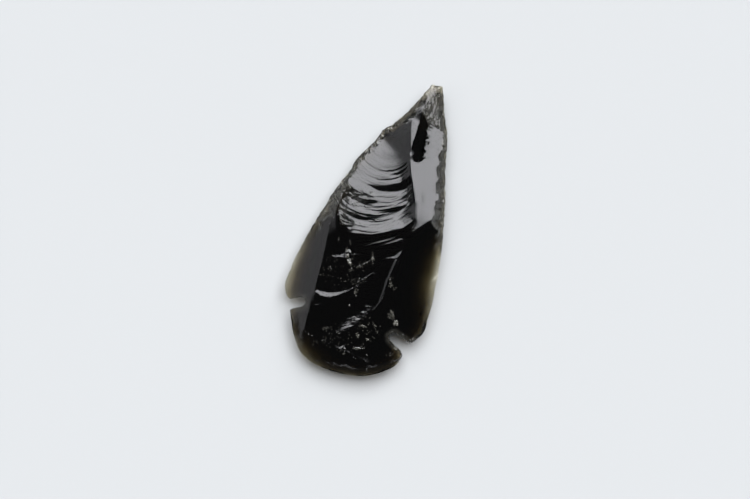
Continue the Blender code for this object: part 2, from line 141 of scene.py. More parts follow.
# ripples of the big scar: place of the arc, then (sheet x, width of the falling face, strength)
RIPPLE = [
    (170.6, 0.26, [(362, 0.4, 0), (368, 0.7, .3), (380, 0.8, .4), (390, 0.9, .6), (397, 1.2, 1), (404, 1.3, 1), (409, 0.8, .8)]),
    (174.6, 0.30, [(384, 0.3, 0), (390, 0.5, .5), (395, 1.2, 1), (400, 2.1, 1), (404, 2.1, 1), (409, 1.2, .8)]),
    (179.6, 0.28, [(360, 0.4, 0), (366, 0.5, .3), (384, 0.6, .4), (392, 0.7, .7), (397, 1.3, 1), (402, 2.0, 1), (406, 1.8, 1), (410, 1.2, 1)]),
    (186.5, 0.24, [(366, 2.0, 0), (371, 1.6, .7), (375, 2.7, 1), (380, 3.8, 1), (393, 5.0, 1), (401, 7.0, 1), (407, 8.2, 1), (413, 8.2, 1)]),
    (195.6, 0.26, [(358, 1.0, 0), (361, 1.6, 1), (367, 1.6, 1), (371, 0.6, 0)]),
    (198.0, 0.26, [(341, 4.0, 0), (346, 5.6, 1), (352, 5.6, 1), (358, 3.0, .8), (364, 1.0, 0)]),
    (201.4, 0.26, [(351, 2.0, 0), (357, 3.6, 1), (364, 4.4, 1), (370, 2.4, .9), (378, 0.8, 0)]),
    (204.4, 0.24, [(392, 0.4, 0), (398, 0.9, .8), (403, 1.8, 1), (408, 3.2, 1), (414, 4.6, 1)]),
    (205.0, 0.26, [(334, 9.0, 1), (342, 8.0, 1), (346, 4.0, 1), (349, 2.0, 0)]),
    (212.4, 0.26, [(380, 0.6, 0), (385, 0.8, .6), (391, 1.6, 1), (397, 2.8, 1), (404, 2.8, 1), (409, 2.2, 1), (414, 2.0, 1)]),
    (215.6, 0.26, [(338, 3.0, .6), (343, 4.5, 1), (352, 4.2, 1), (358, 3.2, 1), (366, 2.3, 1), (375, 1.6, 1), (384, 1.1, 1), (391, 1.4, 1), (398, .8, 0)]),
    (222.4, 0.26, [(336, 6.0, .5), (341, 6.0, 1), (346, 5.4, 1), (351, 4.0, 1), (355, 1.5, 0)]),
    (227.0, 0.16, [(360, 0.6, 0), (370, 0.7, .6), (388, 0.9, .7), (395, .8, 0)]),
    (231.0, 0.20, [(393, 0.8, 0), (399, 1.4, 1), (406, 2.4, 1), (412, 3.0, 1)]),
]

# small climbing steps that catch light: the lower edge as (sheet x, sheet y, width), slope, fall-back length
STEPS = [
    ([(364, 246.2, .5), (372, 244.6, 1.8), (380, 242.6, 2.3), (388, 240.6, 1.8), (396, 237.6, .6)], 0.16, 7),
    ([(379, 246.6, .5), (386, 244.8, 1.7), (394, 242.2, 1.8), (402, 238.8, .6)], 0.17, 7),
    ([(375.5, 251.9, .5), (381, 250.5, 1.2), (387.6, 248.4, .5)], 0.11, 5),
    ([(374.5, 265.3, .4), (380, 264.8, 1.0), (386.5, 263.3, .4)], 0.09, 5),
    ([(384.5, 258.8, .5), (391, 258.5, 1.8), (396, 258.4, 3.8), (400.5, 255, 3.6), (404, 251, 2.2), (408, 246.5, 1.2),
      (413, 238, .8)], 0.12, 6),
    ([(370.4, 312, .5), (378.6, 304, 1.9), (383.6, 294, 1.8), (386.5, 283.5, 1.8), (391.5, 272, 2.1),
      (397, 259.5, 2.3)], 0.25, 4),
    ([(315.6, 290, 2.5), (318.5, 294.3, 4.8), (324.5, 297, 6.2), (331.7, 297.2, 5.8), (338, 295.4, 4.4),
      (344, 293, 2.9), (349, 290.6, 1.6), (353.5, 287.8, .6)], 0.15, 9),
    ([(329, 302.6, .5), (337, 303, .9), (345, 301, 1.0), (351, 298.6, 1.0), (357, 295.5, .5)], 0.07, 5),
    ([(314.2, 304.8, .8), (318, 305, 2.2), (322, 303.4, .8)], 0.15, 4),
    ([(350, 289.5, 1), (356, 287.6, 2.6), (362, 284.6, 2.8), (367, 281.4, 1)], 0.12, 7),
    ([(357, 282.5, 1), (363, 280.0, 2.6), (369, 276.2, 2.4), (374, 272.4, .8)], 0.12, 7),
    ([(371, 311.5, .5), (376, 306.5, 1.6), (381, 299.5, 1.8), (384.5, 291, 1.2)], 0.24, 4),
    ([(331, 255.6, .5), (337, 257, 2.2), (342, 257.9, 4.6), (346, 257.8, 5.5), (348.5, 257, 2.5)], 0.13, 5),
    ([(345, 252, 1.5), (348.3, 252.8, 4.2), (351.5, 252.4, 2.0)], 0.16, 4),
    ([(351.5, 254.4, 1.2), (356, 254.8, 1.6), (361.5, 253.4, .6)], 0.11, 4),
    ([(355.5, 269, .8), (360, 266.8, 2.2), (365, 264.4, 2.4), (371.5, 261, 1.0)], 0.08, 5),
    ([(327.6, 344, .5), (332, 342.4, 1.0), (336, 340.4, .5)], 0.09, 4),
    ([(337, 350, .8), (343, 347.2, 2.6), (348.5, 343.8, 1.0)], 0.06, 5),
    ([(374.4, 299, .4), (377, 297.2, .9), (380, 295.6, .4)], 0.11, 3),
    ([(352.5, 349.4, .5), (357, 347.8, 1.2), (361, 348.4, .7), (366, 348.8, .5)], 0.13, 3),
    ([(358.3, 340.6, .4), (361.5, 344.8, 1.0), (366, 348.0, .5)], 0.13, 3),
    ([(372, 345, 1.2), (378.4, 340, 3.4), (385.5, 334.5, 3.8), (392.6, 328.6, 1.6)], 0.06, 6),
    ([(431.5, 186.5, .4), (435, 184.6, 1.0), (438.5, 186.5, .4)], 0.16, 2.5),
    ([(432.5, 190.5, .4), (436, 188.0, 1.2), (440, 190.5, .4)], 0.18, 2.5),
]

# crumbs and hackles: centre on the sheet, half sizes, turn, how many, how long each is, how crushed
CRUMBS = [
    (338.8, 238.8, 1.4, 1.7, 0, 5, 1.0, .5), (350.3, 243.5, .4, 3.2, 0, 6, 1.0, .3), (347.8, 250, 2.2, 2.6, 0, 9, 1.2, .5),
    (348.9, 259.5, 2.1, 5.6, -15, 34, 1.2, .95), (350.8, 268.5, 1.8, 4, -10, 12, 1.0, .35), (329.7, 268.5, 2.6, 3.2, 30, 9, 1.0, .25),
    (372.6, 258.5, .7, 8.8, 0, 15, 1.0, .35), (373.6, 258, 1.9, 2.3, 0, 11, 1.2, .5), (364.5, 263.8, 8.5, 1.6, -28, 24, 1.2, .25),
    (355.5, 280, 4.8, 4.2, 0, 18, 1.0, .2), (360.5, 280, 9.5, 3.5, -35, 20, 1.0, .15), (356.2, 292.5, 1.9, 4.6, 10, 17, 1.1, .35),
    (343, 272, 24, 20, 0, 110, .6, .32), (349.6, 304.8, .7, .8, 0, 4, 1.0, .6), (326.5, 328, 4.2, 1.6, -12, 12, 1.1, .4),
    (324.6, 340, 3.2, 3.2, 0, 10, 1.0, .2), (337.5, 332.5, 2.6, 1.5, 0, 6, 1.0, .3), (426, 156.5, 2.2, 3.4, 0, 12, 1.3, .15), (363, 326, 3.8, 1.2, 5, 15, 1.3, .6),
    (368.7, 324, .9, .8, 0, 4, 1.0, .5), (375.4, 327.5, 1.6, 5.6, -25, 15, 1.0, .4), (357.5, 335, 2, 2.9, -20, 12, 1.2, .5),
    (367.6, 339, 1.9, 1.6, 0, 11, 1.2, .45), (358.5, 347.5, 6.5, 1.4, 0, 17, 1.3, .45), (344, 353.3, .9, 1.0, 0, 5, 1.0, .6),
    (344.6, 349.5, .5, 3, 0, 5, 1.0, .2), (367.2, 354.7, .8, .8, 0, 4, 1.0, .4), (352, 334, 30, 17, -15, 130, .6, .35),
    (389.5, 315, 2.4, 3.4, 0, 16, .9, .45), (392.6, 315.5, 2.0, 7, -14, 30, 1.0, .6), (395.6, 323.2, 2.2, 2.7, 0, 22, 1.3, .9),
    (390.6, 284.8, 1.9, 2.6, 0, 12, 1.2, .5), (391, 279.6, 2.2, 2.2, 0, 8, 1.1, .3), (395, 288.6, 2.6, 2.2, 0, 8, 1.0, .25),
    (395.2, 347.6, 2.1, 1.5, 40, 10, 1.2, .7), (389.7, 355, 3.6, 2.1, 0, 9, 1.0, .15), (315, 343, 4, 3.2, 30, 11, 1.0, .12),
    (424, 111, 1.2, 1.0, 0, 8, 1.2, .9), (427, 115.2, 1.5, 1.2, 0, 7, 1.2, .7), (429, 109, .8, 1.3, 0, 4, 1.0, .6),
    (432.6, 108, .7, 1.0, 0, 4, 1.0, .6), (432.3, 118.7, .8, 1.1, 0, 5, 1.2, .9), (430, 121, 3.2, 5.5, 0, 11, 1.0, .35),
    (437, 111, 4.5, 16, 0, 34, 1.1, .3), (348.8, 187, 2.6, 2.6, 0, 11, 1.2, .6), (371.2, 192.5, 1.6, 1.2, 0, 8, 1.2, .7),
    (357.5, 202.5, 1.6, 1.2, 0, 6, 1.2, .6), (343, 209, 3.2, 1.8, 20, 10, 1.2, .45), (344, 213.4, 3.6, 1.8, 20, 10, 1.2, .45),
    (356, 197, 14, 8, 10, 44, 1.1, .3), (413.6, 229, 2.2, 2.8, 0, 9, 1.0, .3), (444.6, 150, 1.4, 36, -1, 60, 1.2, .5),
    (443.6, 205, 1.3, 32, 2, 50, 1.2, .5), (362, 153.5, 9, 1.1, -41, 20, 1.1, .35), (345, 177, 15, 1.2, -50, 34, 1.1, .4),
    (325.5, 208, 11, 1.2, -62, 26, 1.1, .35), (430, 150, 4, 9, 20, 18, 1.0, .25), (333, 201, 3, 14, 32, 26, 1.1, .3),
]
HACKLES = [
    (412, 303, 17, 25, 0, 60, 6.5, -5, .014), (404, 322, 10, 12, 0, 22, 5.0, -12, .012), (425, 262, 7, 20, 0, 16, 3.5, -20, .009),
    (360, 330, 22, 18, 0, 22, 3.5, -35, .012), (383, 352, 14, 8, 0, 12, 4.0, 8, .010), (323, 292.6, 5, 2.2, 10, 9, 4.5, 14, -.010),
    (415, 148, 3.2, 12, 10, 16, 3.0, -12, .012),
    (419, 176, 4.5, 13, 8, 34, 2.4, -52, .020), (424, 200, 7, 20, 0, 26, 2.2, -48, .012), (431, 160, 7, 18, 0, 14, 2.6, 70, .010), (352, 300, 26, 30, 0, 26, 2.5, -30, .010),
]


# ------------------------------------------------------------------ tools
def smooth01(x):
    x = np.clip(x, 0, 1)
    return x * x * (3 - 2 * x)


def ramp(t):
    """0 to 1 over t 0..1, straight with rounded ends."""
    t = np.clip(t, 0, 1)
    return np.where(t < 0.15, t * t / 0.30, np.where(t > 0.85, 0.85 - (1 - t) ** 2 / 0.30, t - 0.075)) / 0.85


def vnoise(x, y, seed=0):
    """Smooth value noise, -1..1, one cell to the unit."""
    xi = np.floor(x).astype(np.int64)
    yi = np.floor(y).astype(np.int64)
    fx, fy = x - xi, y - yi
    fx = fx * fx * fx * (fx * (fx * 6 - 15) + 10)
    fy = fy * fy * fy * (fy * (fy * 6 - 15) + 10)

    def h(a, b):
        v = (a * 374761393 + b * 668265263 + seed * 974634777) & 0xFFFFFFFF
        v = ((v ^ (v >> 13)) * 1274126177) & 0xFFFFFFFF
        v = v ^ (v >> 16)
        return (v & 0xFFFF) / 32767.5 - 1.0
    return ((h(xi, yi) * (1 - fx) + h(xi + 1, yi) * fx) * (1 - fy)
            + (h(xi, yi + 1) * (1 - fx) + h(xi + 1, yi + 1) * fx) * fy)


def blob(pts, cx, cy, rx, ry, deg=0.0):
    a = math.radians(deg)
    dx, dy = pts[:, 0] - cx, pts[:, 1] - cy
    u = (dx * math.cos(a) + dy * math.sin(a)) / rx
    v = (-dx * math.sin(a) + dy * math.cos(a)) / ry
    return smooth01(1.35 - np.sqrt(u * u + v * v))


def curve(pts, closed, step):
    """Corners about a step apart along a rounded line through pts, and the place of each in pts."""
    n = len(pts)
    p = np.array(pts, float)
    out, place = [], []
    for i in range(n if closed else n - 1):
        p0 = p[(i - 1) % n] if closed or i > 0 else p[i]
        p1, p2 = p[i], p[(i + 1) % n]
        p3 = p[(i + 2) % n] if closed or i + 2 < n else p2
        length = np.linalg.norm(p2 - p1)
        k = max(1, int(round(length / step)))
        t1 = (p2 - p0) * 0.42 * min(1.0, 2 * length / (np.linalg.norm(p2 - p0) + 1e-9))
        t2 = (p3 - p1) * 0.42 * min(1.0, 2 * length / (np.linalg.norm(p3 - p1) + 1e-9))
        for j in range(k):
            t = j / k
            out.append((2 * t ** 3 - 3 * t ** 2 + 1) * p1 + (t ** 3 - 2 * t ** 2 + t) * t1
                       + (3 * t ** 2 - 2 * t ** 3) * p2 + (t ** 3 - t ** 2) * t2)
            place.append(i + t)
    if not closed:
        out.append(p[-1])
        place.append(n - 1.0)
    return np.array(out), np.array(place)


def inside(poly, pts):
    x, y = pts[:, 0], pts[:, 1]
    c = np.zeros(len(pts), bool)
    for (x0, y0), (x1, y1) in zip(poly, np.roll(poly, -1, axis=0)):
        if y0 != y1:
            c ^= ((y0 > y) != (y1 > y)) & (x < (x1 - x0) * (y - y0) / (y1 - y0) + x0)
    return c


def to_segments(a, b, pts, chunk=6000):
    """Distance from each point to the nearest of the segments a-b, which one, and how far along it."""
    d = b - a
    l2 = (d ** 2).sum(1) + 1e-12
    gap, near, share = np.empty(len(pts)), np.empty(len(pts), int), np.empty(len(pts))
    for k in range(0, len(pts), chunk):
        p = pts[k:k + chunk]
        ex = p[:, None, 0] - a[None, :, 0]
        ey = p[:, None, 1] - a[None, :, 1]
        t = np.clip((ex * d[None, :, 0] + ey * d[None, :, 1]) / l2, 0, 1)
        q = (ex - t * d[None, :, 0]) ** 2 + (ey - t * d[None, :, 1]) ** 2
        j = q.argmin(1)
        r = np.arange(len(p))
        gap[k:k + chunk], near[k:k + chunk], share[k:k + chunk] = np.sqrt(q[r, j]), j, t[r, j]
    return gap, near, share


def mean_value(poly, height, pts):
    """A smooth surface over pts that meets the given heights along the sides of poly."""
    out = np.empty(len(pts))
    for k in range(0, len(pts), 20000):
        d = poly[None] - pts[k:k + 20000, None]
        r = np.sqrt((d ** 2).sum(2)) + 1e-9
        dn, rn = np.roll(d, -1, axis=1), np.roll(r, -1, axis=1)
        t = (d[:, :, 0] * dn[:, :, 1] - d[:, :, 1] * dn[:, :, 0]) / (r * rn + (d * dn).sum(2) + 1e-7 * r * rn)
        w = (t + np.roll(t, 1, axis=1)) / r
        out[k:k + 20000] = (w * height).sum(1) / w.sum(1)
    return out


def to_part(pts):
    """Sheet to part axes, in millimetres."""
    u = (pts[:, 0] - SHEET_ORIGIN[0]) / SHEET
    v = (SHEET_ORIGIN[1] - pts[:, 1]) / SHEET
    c, s = math.cos(math.radians(AXIS_TILT)), math.sin(math.radians(AXIS_TILT))
    return np.stack([u * c - v * s, u * s + v * c], 1)


def hex_grid(lo, hi, step):
    rows = int((hi[1] - lo[1]) / (step * 0.866)) + 2
    cols = int((hi[0] - lo[0]) / step) + 2
    j, i = np.mgrid[0:rows, 0:cols]
    return np.stack([lo[0] + (i + 0.5 * (j % 2)).ravel() * step, lo[1] + j.ravel() * step * 0.866], 1)


coarse, _ = curve(RIM, True, CAD_RIM_STEP * SHEET)
flat_xy = to_part(coarse)
SHIFT = (flat_xy.min(0) + flat_xy.max(0)) / 2

# ------------------------------------------------------------------ the rim, chipped
FINE = 0.17                       # mm between corners along the rim
rim0, place0 = curve(RIM, True, FINE * SHEET)
seg0 = np.linalg.norm(np.roll(rim0, -1, axis=0) - rim0, axis=1) / SHEET
ARC = np.concatenate([[0], np.cumsum(seg0)[:-1]])
PERIM = seg0.sum()
E_TAB = np.array(EDGE)
grain0 = np.interp(place0, E_TAB[:, 0], E_TAB[:, 4])
tangent = np.roll(rim0, -2, axis=0) - np.roll(rim0, 2, axis=0)
tangent /= np.linalg.norm(tangent, axis=1)[:, None]
outward = np.stack([-tangent[:, 1], tangent[:, 0]], 1)
if ((outward * (rim0 - MIDDLE)).sum(1)).mean() < 0:
    outward = -outward
bite = -0.24 * np.abs(vnoise(ARC / 1.3, ARC * 0 + 0.5, 41)) + 0.10 * vnoise(ARC / 0.45, ARC * 0 + 0.5, 42) + 0.03
rim1 = rim0 + outward * (bite * (0.35 + 0.65 * grain0) * SHEET)[:, None]
WAVE = 0.12 * np.sin(ARC * 2 * np.pi / PERIM * 11 + 1.3) + 0.07 * np.sin(ARC * 2 * np.pi / PERIM * 29)

tree = kdtree.KDTree(len(rim1))
for i, p in enumerate(rim1):
    tree.insert((p[0], p[1], 0.0), i)
tree.balance()


def rim_at(pts):
    """Distance to the rim in mm, and the edge height, the retouch slopes, the grain and the arc there."""
    n = len(rim1)
    near = np.array([tree.find((x, y, 0.0))[1] for x, y in pts])
    best, idx, share = np.full(len(pts), 1e9), near.copy(), np.zeros(len(pts))
    for k in (-2, -1, 0, 1):
        i = (near + k) % n
        a, b = rim1[i], rim1[(i + 1) % n]
        d = b - a
        t = np.clip(((pts - a) * d).sum(1) / ((d ** 2).sum(1) + 1e-12), 0, 1)
        q = np.sqrt(((pts - a - t[:, None] * d) ** 2).sum(1))
        m = q < best
        best[m], idx[m], share[m] = q[m], i[m], t[m]
    nxt = np.append(place0[1:], len(RIM))
    place = place0[idx] + share * (nxt[idx] - place0[idx])
    arc = ARC[idx] + share * seg0[idx]
    wave = WAVE[idx] * (1 - share) + WAVE[(idx + 1) % n] * share
    e = [np.interp(place, E_TAB[:, 0], E_TAB[:, k]) for k in (1, 2, 3, 4)]
    return best / SHEET, e[0] + wave, e[1], e[2], e[3], arc


def chips(seed, lo, hi):
    """Cells along the rim: centre, half width, slope factor, lean."""
    rng = np.random.RandomState(seed)
    s, out = 0.0, []
    while s < PERIM:
        w = rng.uniform(lo, hi)
        out.append((s + w / 2, w / 2, rng.uniform(0.82, 1.25), rng.uniform(-0.35, 0.35)))
        s += w
    return np.array(out)


def retouch(arc, d, slope, cells, grain):
    """The edge retouch: small scallops side by side."""
    i = np.clip(np.searchsorted(cells[:, 0] - cells[:, 1], arc, side="right") - 1, 0, len(cells) - 1)
    best = np.full(len(arc), 1e9)
    for k in (-1, 0, 1):
        c = cells[(i + k) % len(cells)]
        q = (arc - c[:, 0] + PERIM / 2) % PERIM - PERIM / 2
        q = q / c[:, 1] + c[:, 3] * np.clip(d, 0, 2)
        best = np.minimum(best, slope * c[:, 2] * d * (1 + (0.15 + 0.40 * grain) * q * q))
    return best + 0.35 * np.clip(d - 1.6, 0, None) ** 2


def nibbles(seed, lo, hi, reach):
    """Short scars along the rim: centre, half width, slope factor, length."""
    rng = np.random.RandomState(seed)
    s, out = 0.0, []
    while s < PERIM:
        w = rng.uniform(lo, hi)
        out.append((s + w / 2, w / 2, rng.uniform(0.6, 1.5), rng.uniform(*reach)))
        s += w
    return np.array(out)


def nibbled(arc, d, slope, cells, grain):
    """Each short scar is a small facet with a steep inner end."""
    i = np.clip(np.searchsorted(cells[:, 0] - cells[:, 1], arc, side="right") - 1, 0, len(cells) - 1)
    c = cells[i]
    q = (arc - c[:, 0]) / c[:, 1]
    lean = c[:, 2] + (1.5 - c[:, 2]) * (1 - grain) * 0.9
    return slope * lean * d * (1 + 0.3 * q * q) + 2.2 * np.clip(d - c[:, 3] * (1 - 0.45 * q * q), 0, None)


def arc_coord(x, y):
    """The sheet y of the lowest point of the ripple arc through x, y."""
    lo, hi = np.full(x.shape, 100.0), np.full(x.shape, 330.0)
    for _ in range(26):
        m = 0.5 * (lo + hi)
        rad = np.clip(24 + (m - 165) * 0.56, 8, None)
        dx = x - (389 - 0.26 * (m - 165))
        yy = m - rad + np.where(np.abs(dx) < rad, np.sqrt(np.clip(rad * rad - dx * dx, 0, None)), -0.5 * (np.abs(dx) - rad))
        low = yy < y
        lo, hi = np.where(low, m, lo), np.where(low, hi, m)
    return 0.5 * (lo + hi)


def ripples(x, y, torn):
    """The big scar's ripples: each falls away over its width, then the fall dies out and is made up slowly."""
    rho = arc_coord(x, y)
    rho = rho + torn * (1.1 * vnoise(x / 6.0, y / 3.0, 21) + 0.5 * vnoise(x / 2.4, y / 1.6, 22))
    z = np.zeros(len(x))
    for r0, fall, tab in RIPPLE:
        t = np.array(tab, float)
        w = np.interp(x, t[:, 0], t[:, 1])
        a = np.interp(x, t[:, 0], t[:, 2], left=0.0)
        tail = 0.35 + 0.22 * w
        w = w * (1 + 0.08 * vnoise((x + 2.5 * rho) / 9, rho / 0.9, 8))
        q = rho - r0
        drop = np.clip(q, 0, w) + tail * (1 - np.exp(-np.clip(q - w, 0, None) / tail))
        z += a * fall / SHEET * ((w + tail) * smooth01((q - w) / (2.4 * (w + tail) + 2.5)) - drop)
    fine = 0.022 * vnoise(rho / 2.1, x / 24.0, 5) + 0.012 * vnoise(rho / 0.95, x / 15.0, 6) + 0.05 * vnoise(rho / 6.0, x / 40.0, 7)
    return z + fine * (0.5 + 2.4 * smooth01((rho - 176) / 40)), rho


def line_step(pts, line, slope, fall):
    """A small climb toward the line from above, as wide as the line says, which falls back on its lower side."""
    line = np.array(line, float)
    c, place = curve([tuple(p) for p in line[:, :2]], False, 1.2)
    width = np.interp(place, np.arange(len(line)), line[:, 2])
    gap, i, t = to_segments(c[:-1], c[1:], pts)
    w = width[i] * (1 - t) + width[i + 1] * t
    d = c[1:] - c[:-1]
    v = pts - c[:-1][i]
    below = d[i, 0] * v[:, 1] - d[i, 1] * v[:, 0]
    sd = np.where(below >= 0, gap, -gap)
    s = (i + t) / (len(c) - 1)
    ends = smooth01(s / 0.06) * smooth01((1 - s) / 0.06)
    return slope * w / SHEET * ends * ramp((sd + w) / w) * np.exp(-np.clip(sd, 0, None) / fall) * (gap < 5 * fall)


def scatter(table, seed):
    """Small bumps: centre, half length, half width, turn, height mm, crush."""
    rng = np.random.RandomState(seed)
    out = []
    for cx, cy, rx, ry, deg, count, size, crush in table:
        a = math.radians(deg)
        for _ in range(count):
            r, q = math.sqrt(rng.uniform()), rng.uniform(0, 2 * math.pi)
            u, v = r * math.cos(q) * rx, r * math.sin(q) * ry
            out.append((cx + u * math.cos(a) - v * math.sin(a), cy + u * math.sin(a) + v * math.cos(a),
                        size * rng.uniform(0.35, 0.95), size * rng.uniform(0.28, 0.48), rng.uniform(-1.2, 1.2),
                        rng.uniform(0.012, 0.042), crush * rng.uniform(0.5, 1.15)))
    return out


def hackles(table, seed):
    rng = np.random.RandomState(seed)
    out = []
    for cx, cy, rx, ry, deg, count, size, turn, h in table:
        a = math.radians(deg)
        for _ in range(count):
            r, q = math.sqrt(rng.uniform()), rng.uniform(0, 2 * math.pi)
            u, v = r * math.cos(q) * rx, r * math.sin(q) * ry
            out.append((cx + u * math.cos(a) - v * math.sin(a), cy + u * math.sin(a) + v * math.cos(a),
                        size * rng.uniform(0.3, 0.8), rng.uniform(0.4, 0.6), math.radians(turn + rng.uniform(-7, 7)),
                        h * rng.uniform(0.5, 1.1), 0.0))
    return out


FEATHERS = (355.0, 318.0, 26, 5.2, -38)      # centre, half sizes and turn of the feathered band
BUMPS = scatter(CRUMBS, 5) + hackles(HACKLES, 6)


def bumps(pts):
    z, crush = np.zeros(len(pts)), np.zeros(len(pts))
    order = np.argsort(pts[:, 1])
    ys = pts[order, 1]
    for x, y, a, b, turn, h, c in BUMPS:
        reach = 2.2 * max(a, b)
        i, j = np.searchsorted(ys, (y - reach, y + reach))
        k = order[i:j]
        k = k[np.abs(pts[k, 0] - x) < reach]
        dx, dy = pts[k, 0] - x, pts[k, 1] - y
        u = (dx * math.cos(turn) + dy * math.sin(turn)) / a
        v = (-dx * math.sin(turn) + dy * math.cos(turn)) / b
        g = np.exp(-(u * u + v * v) * 1.4)
        z[k] += h * g
        crush[k] = np.maximum(crush[k], c * smooth01(1.6 * g - 0.25))
    return z, crush


def crumble(pts):
    """The torn patch at the left end of the ripples."""
    x, y = pts[:, 0], pts[:, 1]
    b = vnoise((x + 0.4 * y) / 7.0, (y - 0.25 * x) / 1.9, 22)
    c = vnoise((x + 0.4 * y) / 2.6, (y - 0.25 * x) / 1.0, 23)
    return torn_patch(pts) * (0.052 * b + 0.036 * c)


def torn_patch(pts):
    return np.maximum(np.maximum(blob(pts, 356, 196, 15, 8, 10), blob(pts, 341.5, 207, 6.5, 18, 18)),
                      0.9 * blob(pts, 347, 222, 9, 6.5, 20))


def feathers(pts):
    """Fine steps side by side along a slanting band, which catch the light together."""
    x, y = pts[:, 0], pts[:, 1]
    t = (0.34 * x + 0.94 * y) / 4.6 + 0.4 * vnoise(x / 11, y / 6, 71) + 0.12 * vnoise(x / 5, y / 1.4, 72)
    f = t - np.floor(t)
    saw = np.where(f < 0.87, f / 0.87, (1 - f) / 0.13) - 0.5
    return blob(pts, *FEATHERS) * 0.185 * saw


def scar_surface(pts, moved):
    """Height, scar and distance to its ridges; moved says which scar a point falls in."""
    pts, moved = pts + np.array([1.3e-4, 0.7e-4]), moved + np.array([1.3e-4, 0.7e-4])
    z, which, gap = np.full(len(pts), np.nan), np.full(len(pts), -1), np.full(len(pts), 1e9)
    for k, (_, loop, bowl) in enumerate(SCAR):
        poly = np.array([NODE[n][:2] for n in loop.split()], float)
        top = np.array([NODE[n][2] for n in loop.split()], float)
        m = inside(poly, moved) & np.isnan(z)
        if m.any():
            d = to_segments(poly, np.roll(poly, -1, axis=0), pts[m])[0]
            z[m] = mean_value(poly, top, pts[m]) - bowl * (1 - np.exp(-d / SHEET / (BOWL_REACH if bowl < 0.3 else 1.3)))
            which[m], gap[m] = k, d
    return np.where(np.isnan(z), 4.0, z), which, gap


def front_height(pts, at):
    d, edge, slope, _, grain, arc = at
    torn = np.maximum(np.maximum(blob(pts, 427.5, 141, 6.5, 25, 14), blob(pts, 419, 159.5, 8, 5, -10)),
                      0.2 * blob(pts, 341, 214, 13, 22, 25))
    x, y = pts[:, 0], pts[:, 1]
    q = pts + np.stack([
        torn * (4.0 * vnoise(x / 3.6, y / 2.6, 11) + 3.6 * vnoise(x / 1.7, y / 1.3, 12)),
        torn * (4.2 * vnoise(x / 3.0, y / 3.8, 13) + 3.0 * vnoise(x / 1.5, y / 1.7, 14))], 1)
    z, which, gap = scar_surface(pts, q)
    riser = which == SCAR_NAME.index("torn")
    sides = [mean_value(np.array([NODE[n][:2] for n in loop.split()], float),
                        np.array([NODE[n][2] for n in loop.split()], float), pts[riser])
             for name, loop, _ in SCAR if name in ("broken", "right")]
    z[riser] = np.clip(z[riser], np.minimum(*sides), np.maximum(*sides))
    big = which == SCAR_NAME.index("ripples")
    r, _ = ripples(x[big], y[big], torn_patch(pts[big]))
    z[big] += (r + crumble(pts[big])) * smooth01(gap[big] / SHEET / 0.30)
    for line, rise, fall in STEPS:
        lo, hi = np.min(line, 0)[:2] - 30, np.max(line, 0)[:2] + 30
        m = ((pts > lo) & (pts < hi)).all(1) & ~big
        z[m] += line_step(pts[m], line, rise, fall) * smooth01(gap[m] / SHEET / 0.25)
    tip = which == SCAR_NAME.index("tip_right")
    z[tip] += 0.012 * vnoise(x[tip] / 1.2, y[tip] / 9, 61) * smooth01(gap[tip] / 2)
    left = which == SCAR_NAME.index("tip_left")
    across, along = 0.648 * x[left] + 0.761 * y[left], 0.648 * y[left] - 0.761 * x[left]
    z[left] += (0.026 * vnoise(across / 1.3, along / 12, 62) + 0.03 * vnoise(across / 3.1, along / 22, 63)) * smooth01(gap[left] / 2)
    frayed = np.maximum(blob(pts, 427.5, 138, 3.2, 17, 8), blob(pts, 421.5, 158, 7, 5, -15))
    z += frayed * (0.030 * vnoise(x / 2.6 + y / 9, y / 1.9, 67) + 0.018 * vnoise(x / 1.4, y / 1.1, 68)) * (d > 1.0)
    right = which == SCAR_NAME.index("right")
    z[right] += (0.008 * vnoise(x[right] / 2.2 + y[right] / 30, y[right] / 16, 64)
                 + 0.022 * vnoise(x[right] / 6.0, y[right] / 14, 65)) * smooth01(gap[right] / 2)
    mid = which == SCAR_NAME.index("middle")
    z[mid] += (0.010 * vnoise(x[mid] / 9, y[mid] / 9, 66) + feathers(pts[mid])) * smooth01(gap[mid] / 2)
    chip = retouch(arc, d, slope, CHIP_FRONT, grain)
    for cells in NIBBLE_FRONT:
        chip = np.minimum(chip, nibbled(arc, d, slope, cells, grain))
    rough = grain * smooth01(1.2 - d / 1.6) * smooth01(d / 0.3)
    chip = chip + rough * (0.05 * vnoise(x / 2.6, y / 2.6, 31) + 0.035 * vnoise(x / 1.2, y / 1.2, 32))
    top = np.minimum(z, edge + chip)
    more, crush = bumps(pts)
    top = np.maximum(top + more * smooth01(d / 0.35), edge + LEAST_WEDGE * d)
    return top, which, z > edge + chip, crush


